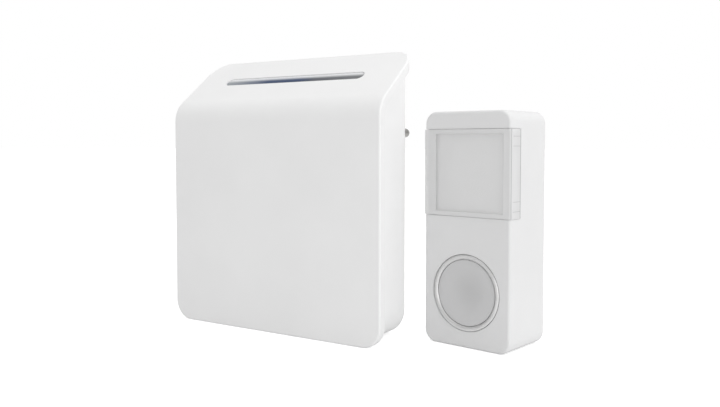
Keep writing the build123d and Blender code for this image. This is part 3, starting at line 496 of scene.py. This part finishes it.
def make_cover():
    """The clear cover: a sheet folded round the front with soft corners, a stepped window, snap ribs and dark
    strips of painted shade where the leg ends, the front corners and the ribs' edges show.
    """
    z0 = COVER_Z[0] + COVER_GAP
    z1 = COVER_Z[1] - COVER_GAP
    leg = COVER_LEG - 0.1
    tip = leg - 0.4
    out = COVER_HALF
    inner = out - COVER_WALL
    ease = 0.06
    satin_face, clear_face, shade_line_face = range(3)
    corners = [(-out, leg), (-out, tip), (-out, COVER_FRONT), (out, COVER_FRONT), (out, tip), (out, leg)]
    outside = rounded(corners, {2: COVER_CORNER, 3: COVER_CORNER}, 8)
    # outer wall strips at the leg ends and front corners get the painted shade lines
    shade_lines_at = (0, 5, len(outside) - 7, len(outside) - 2)
    bm = bmesh.new()
    rings = []
    for k, (x, y) in enumerate(outside):
        side = -1 if x < 0 else 1
        near = (side * inner, max(y, COVER_INSIDE))
        toward = (Vector(near) - Vector((x, y))).normalized() * ease
        eased = (x + toward.x, y + toward.y)
        section = [(x, y, z0 + ease), (*eased, z0), (*near, z0), (*near, z1), (*eased, z1), (x, y, z1 - ease)]
        rings.append([bm.verts.new(v) for v in section])
    bm.faces.new(rings[0])
    bm.faces.new(rings[-1][::-1])
    for index, (one, two) in enumerate(zip(rings, rings[1:])):
        for k in range(6):
            j = (k + 1) % 6
            quad = (one[k], two[k], two[j], one[j])
            if k == 5 and two[k].co.x - one[k].co.x > out:
                outer = (one[0], two[0], two[5], one[5])
                continue
            face = bm.faces.new(quad)
            if k == 2:
                face.material_index = clear_face
            elif k == 5 and index in shade_lines_at:
                face.material_index = shade_line_face
    for ease_in, depth in ((0.0, COVER_FRONT), (WINDOW_BEVEL, COVER_FRONT + WINDOW_STEP)):
        left = WINDOW_X[0] + ease_in
        right = WINDOW_X[1] - ease_in
        low = z0 + WINDOW_MARGIN + ease_in
        high = z1 - WINDOW_MARGIN - ease_in
        corners = ((left, low), (right, low), (right, high), (left, high))
        ring = [bm.verts.new((x, depth, z)) for x, z in corners]
        for k in range(4):
            bm.faces.new((outer[k], outer[(k + 1) % 4], ring[(k + 1) % 4], ring[k]))
        outer = ring
    bm.faces.new(outer).material_index = clear_face
    bmesh.ops.remove_doubles(bm, verts=bm.verts, dist=1e-4)
    for side in (-1, 1):
        for low_z in (COVER_Z[0] + RIB_MARGIN, COVER_Z[1] - RIB_MARGIN - RIB_HEIGHT):
            high_z = low_z + RIB_HEIGHT
            a, b = sorted((side * (inner - 0.01), side * (inner - RIB_PROUD)))
            box_into(bm, (a, COVER_INSIDE + 0.02, low_z), (b, COVER_INSIDE + RIB_DEPTH, high_z), satin_face)
            a, b = sorted((side * (out - 0.06), side * (out + 0.012)))
            for line in (low_z, high_z):
                # painted shade: thin dark strips on the leg's outside where the ribs' edges show through
                box_into(bm, (a, COVER_INSIDE, line - RIB_SHADE_LINE), (b, tip, line + RIB_SHADE_LINE), shade_line_face)
    mesh = finish_mesh("push_name_window", bm)
    mesh.materials.append(MATERIALS["cover_satin"])
    add_piece("push_name_window", smooth(mesh, 24), PUSH, "cover_clear", "cover", "name_cover")
    mesh.materials.append(MATERIALS["cover_painted_shade_line"])


def make_card():
    """The blank slip behind the window, with its fibres in the material."""
    bm = bmesh.new()
    columns = 24
    rows = []
    for depth in CARD_Y:
        line = []
        for k in range(columns + 1):
            x = -CARD_HALF + 2 * CARD_HALF * k / columns
            line.append([bm.verts.new((x, depth, z)) for z in CARD_Z])
        rows.append(line)
    for k in range(columns):
        f0, f1 = rows[0][k], rows[0][k + 1]
        b0, b1 = rows[1][k], rows[1][k + 1]
        bm.faces.new((f0[0], f1[0], f1[1], f0[1]))
        bm.faces.new((b0[0], b0[1], b1[1], b1[0]))
        bm.faces.new((f0[0], b0[0], b1[0], f1[0]))
        bm.faces.new((f0[1], f1[1], b1[1], b0[1]))
    for k in (0, columns):
        f, b = rows[0][k], rows[1][k]
        bm.faces.new((f[0], f[1], b[1], b[0]))
    mesh = finish_mesh("push_name_slip", bm)
    add_piece("push_name_slip", smooth(mesh), PUSH, "card_paper", "push_unit", "name_card")


def make_pins():
    """The two contact pins: turned, with a round nose, a slim core under the sleeve and a head inside."""
    floor = PLUG_END - PLUG_WALL
    head = floor - PIN_HEAD_DEPTH
    tail = head - PIN_TAIL_LENGTH
    step = PLUG_END + SLEEVE_LENGTH
    chamfer = 0.15
    steps = 14
    nose = []
    for k in range(steps):
        angle = pi / 2 * k / steps
        nose.append((PIN_R * cos(angle), PIN_TIP - PIN_R + PIN_R * sin(angle)))
    nose.append((0.0, PIN_TIP))
    profile = [(0.0, head - 1), (PIN_TAIL_R, head - 1), (PIN_TAIL_R, tail), (PIN_CORE_R, tail),
               (PIN_CORE_R, head), (PIN_HEAD_R, head), (PIN_HEAD_R, floor), (PIN_CORE_R, floor),
               (PIN_CORE_R, step), (PIN_R - chamfer, step), (PIN_R, step + chamfer)] + nose
    for side, name in ((-1, "left"), (1, "right")):
        mesh = turned("contact_pin_" + name, profile, side * PIN_X, PLUG_Z, 64)
        add_piece("contact_pin_" + name, mesh, CHIME, "pin_metal", "root", "plug_pin_" + name)


def slot_line(grow, steps=16):
    """The rounded outline of the slot in its own plane, grown all round."""
    half = SLOT_HALF[0] + grow
    radius = SLOT_HALF[1] + grow
    line = []
    for side in (1, -1):
        for k in range(steps + 1):
            angle = pi * k / steps - pi / 2
            line.append((side * (half - radius + radius * cos(angle)), side * radius * sin(angle)))
    return line


def make_guide():
    """The tinted lens that stands in the slot, on its flange and feet behind the plate."""
    facing = Vector((0, -sin(SLANT), cos(SLANT)))
    up = Vector((0, cos(SLANT), sin(SLANT)))
    bm = bmesh.new()

    def at(x, v, down):
        """A place by its distance along the slot, up across it and down into it."""
        return SLOT_MIDDLE + Vector((x, 0, 0)) + up * v - facing * down

    levels = [(0.34, -0.3), (0.38, -0.09), (0.55, -0.06), (3.3, -0.06), (3.3, 0.6), (5.2, 0.6),
              (5.2, GUIDE_FLANGE), (GUIDE_FOOT_DOWN[0], GUIDE_FLANGE)]
    rings = []
    for down, grow in levels:
        rings.append([bm.verts.new(at(x, v, down)) for x, v in slot_line(grow)])
    for one, two in zip(rings, rings[1:]):
        for k in range(len(one)):
            j = (k + 1) % len(one)
            bm.faces.new((one[k], one[j], two[j], two[k]))
    bm.faces.new(rings[0])
    bm.faces.new(rings[-1][::-1])
    half, high = GUIDE_FOOT_HALF
    for x in GUIDE_FOOT_X:
        foot = [at(x + dx, v, down) for dx in (-half, half) for v in (-high, high) for down in GUIDE_FOOT_DOWN]
        block_into(bm, foot)
    mesh = finish_mesh("slot_lens", bm)
    add_piece("slot_lens", smooth(mesh), CHIME, "guide_clear", "root", "light_guide")


def cross_cutter(back, depth):
    """The tapered cross that a screwdriver fits."""
    bm = bmesh.new()
    taper_x = 0.55
    taper_z = 0.8
    corners = ((-1, -1), (1, -1), (1, 1), (-1, 1))
    for wide, high in ((1.55, 0.34), (0.34, 1.55)):
        a = [bm.verts.new((sx * wide, back + 0.3, sz * high)) for sx, sz in corners]
        b = [bm.verts.new((sx * wide * taper_x, back - depth, sz * high * taper_z)) for sx, sz in corners]
        bm.faces.new(a)
        bm.faces.new(b[::-1])
        for k in range(4):
            bm.faces.new((a[k], b[k], b[(k + 1) % 4], a[(k + 1) % 4]))
    return bpy.data.objects.new("cutter", finish_mesh("cutter", bm))


def make_cover_screws():
    """The rear cover's four pan-head screws, each with a cross recess turned its own way."""
    joined = bmesh.new()
    for index, (x, z) in enumerate(COVER_SCREWS):
        profile = [(0, 13.9), (SCREW_R, 13.9), (SCREW_R, 22.9), (SCREW_HEAD_R, 22.9), (SCREW_HEAD_R, 23.5),
                   (2.2, 23.95), (0, SCREW_TOP)]
        profile = rounded(profile, {4: 0.3, 5: 0.8}, 5)
        mesh = turned("screw", profile, 0, 0, 48)
        screw = bpy.data.objects.new("screw", mesh)
        cutter = cross_cutter(SCREW_TOP, CROSS_DEPTH)
        for one in (screw, cutter):
            bpy.context.scene.collection.objects.link(one)
        cut = screw.modifiers.new("cut", "BOOLEAN")
        cut.operation = "DIFFERENCE"
        cut.solver = "EXACT"
        cut.use_self = True
        cut.object = cutter
        made = bpy.data.meshes.new_from_object(screw.evaluated_get(bpy.context.evaluated_depsgraph_get()))
        turn = radians(17 + 31 * index)
        made.transform(Matrix.Translation((x, 0, z)) @ Matrix.Rotation(turn, 4, "Y"))
        joined.from_mesh(made)
        for one in (screw, cutter):
            bpy.data.objects.remove(one, do_unlink=True)
        bpy.data.meshes.remove(made)
    mesh = bpy.data.meshes.new("rear_screws_cross")
    joined.to_mesh(mesh)
    joined.free()
    add_piece("rear_screws_cross", smooth(mesh), CHIME, "screw_steel", "root", "rear_cover_screws")


def place_camera():
    """The photograph's camera, found from the straight edges of both units."""
    corner = Vector((plate_high.x, plate_low.y, plate_low.z))
    away = Vector((129.7457, -213.4198, 67.2665)) * MM
    yaw = 0.571865
    pitch = 0.0436332
    focal_px = 780.0
    image_width_px = 720
    image_middle_px = 203.5
    horizon_px = 177.33
    sensor = 36.0
    data = bpy.data.cameras.new("camera")
    data.sensor_width = sensor
    data.lens = focal_px / image_width_px * sensor
    data.shift_y = (horizon_px - image_middle_px) / image_width_px
    data.clip_start = 0.01
    data.clip_end = 20.0
    camera = bpy.data.objects.new("camera", data)
    bpy.context.scene.collection.objects.link(camera)
    camera.location = corner + away
    forward = Vector((-sin(yaw) * cos(pitch), cos(yaw) * cos(pitch), -sin(pitch)))
    camera.rotation_mode = "QUATERNION"
    camera.rotation_quaternion = forward.to_track_quat("-Z", "Y")
    bpy.context.scene.camera = camera


def area_light(name, place, aim, size, power):
    """A square soft light that looks at a point."""
    data = bpy.data.lights.new(name, "AREA")
    data.size = size
    data.energy = power
    lamp = bpy.data.objects.new(name, data)
    bpy.context.scene.collection.objects.link(lamp)
    lamp.location = place
    lamp.rotation_mode = "QUATERNION"
    lamp.rotation_quaternion = (Vector(aim) - Vector(place)).to_track_quat("-Z", "Y")


def seen_rays(tree):
    """1 for camera, glossy and transmission rays, and 0 for the light that falls on the object."""
    paths = tree.nodes.new("ShaderNodeLightPath")
    seen = paths.outputs["Is Camera Ray"]
    for other in ("Is Glossy Ray", "Is Transmission Ray"):
        either = tree.nodes.new("ShaderNodeMath")
        either.operation = "MAXIMUM"
        tree.links.new(seen, either.inputs[0])
        tree.links.new(paths.outputs[other], either.inputs[1])
        seen = either.outputs[0]
    return seen


def light_scene():
    """Even world light, a large soft light above and one at the right."""
    world = bpy.data.worlds.new("world")
    bpy.context.scene.world = world
    world.use_nodes = True
    tree = world.node_tree
    background = tree.nodes["Background"]
    level = tree.nodes.new("ShaderNodeMapRange")
    level.inputs["To Min"].default_value = WORLD_LEVEL
    level.inputs["To Max"].default_value = 1.0
    tree.links.new(seen_rays(tree), level.inputs["Value"])
    tree.links.new(level.outputs["Result"], background.inputs["Strength"])
    background.inputs["Color"].default_value = (1, 1, 1, 1)
    middle = (cad_box[0] + cad_box[1]) / 2
    for name, away, size, power in LIGHTS:
        area_light(name, middle + Vector(away), middle, size, power)


def add_floor():
    """The white floor: pale and lit, lifted to white for the camera, with the object's shadow kept."""
    mesh = bpy.data.meshes.new("floor")
    reach = 8.0
    corners = [(-reach, -reach, 0), (reach, -reach, 0), (reach, reach, 0), (-reach, reach, 0)]
    mesh.from_pydata(corners, [], [(0, 1, 2, 3)])
    floor = bpy.data.objects.new("floor", mesh)
    bpy.context.scene.collection.objects.link(floor)
    m = Nodes("floor_white")
    m.link(m.blend(m.noise(3.0), (0.8, 0.8, 0.8), (0.82, 0.82, 0.82)), m.shader.inputs["Base Color"])
    m.set(Roughness=1.0, Specular_IOR_Level=0.0)
    lift = m.add("ShaderNodeMath", operation="MULTIPLY")
    lift.inputs[1].default_value = FLOOR_LIFT
    m.link(seen_rays(m.tree), lift.inputs[0])
    m.set(Emission_Color=(1, 1, 1, 1))
    m.link(lift.outputs[0], m.shader.inputs["Emission Strength"])
    mesh.materials.append(m.material)


dress_nodes()
place_camera()
make_ring()
make_button()
make_cover()
make_card()
make_pins()
make_guide()
make_cover_screws()
light_scene()
add_floor()

bpy.context.scene.view_settings.view_transform = "Standard"
